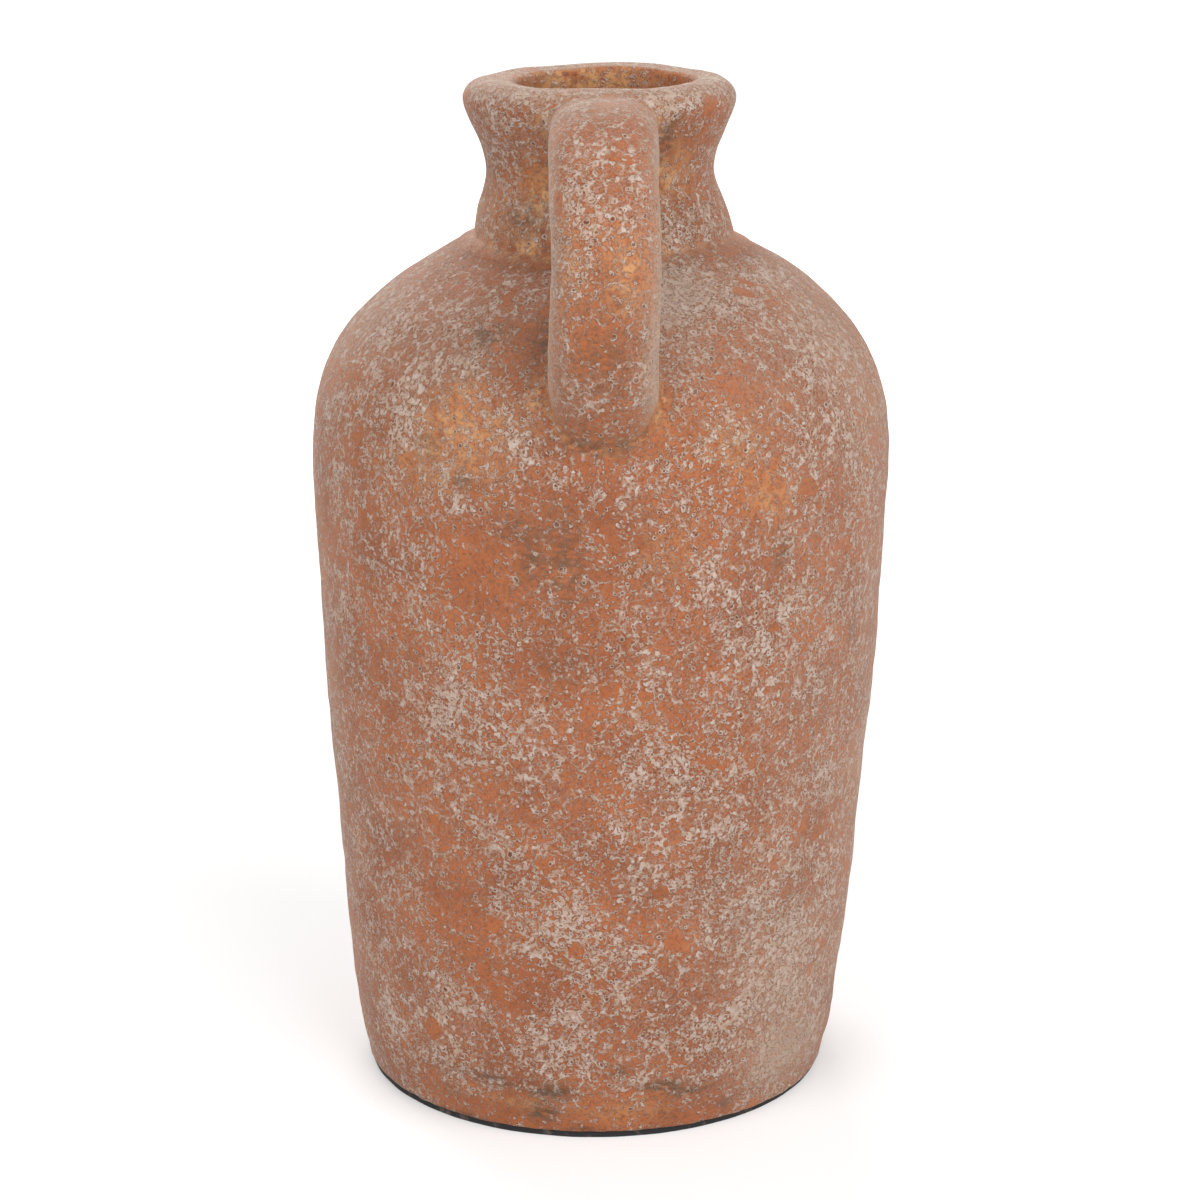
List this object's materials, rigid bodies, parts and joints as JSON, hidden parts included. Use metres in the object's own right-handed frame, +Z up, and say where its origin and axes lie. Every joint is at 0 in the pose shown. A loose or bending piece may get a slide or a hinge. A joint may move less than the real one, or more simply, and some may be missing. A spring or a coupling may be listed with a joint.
{
  "type": "jug vase",
  "caption": "Tall terracotta jug vase with a rounded shoulder, flared neck, thick rounded lip and an ear handle from lip to shoulder, for dried stems or display.",
  "frame": {"origin": "on the table, under the middle of the foot", "axes": "+Z up along the axis of the pot, handle towards -Y, +X to the right as the handle is seen from the front"},
  "size_m": [0.202, 0.2138, 0.356],
  "materials": {
    "terracotta": "fired clay with worn lime wash and rubbed copper patches, matte",
    "black_rubber": "thin black rubber sheet, matte"
  },
  "bodies": {
    "root": {"base_pad": "black_rubber", "foot_dish": "terracotta", "body_wall": "terracotta", "neck_collar": "terracotta", "handle": "terracotta"}
  },
  "joints": []
}
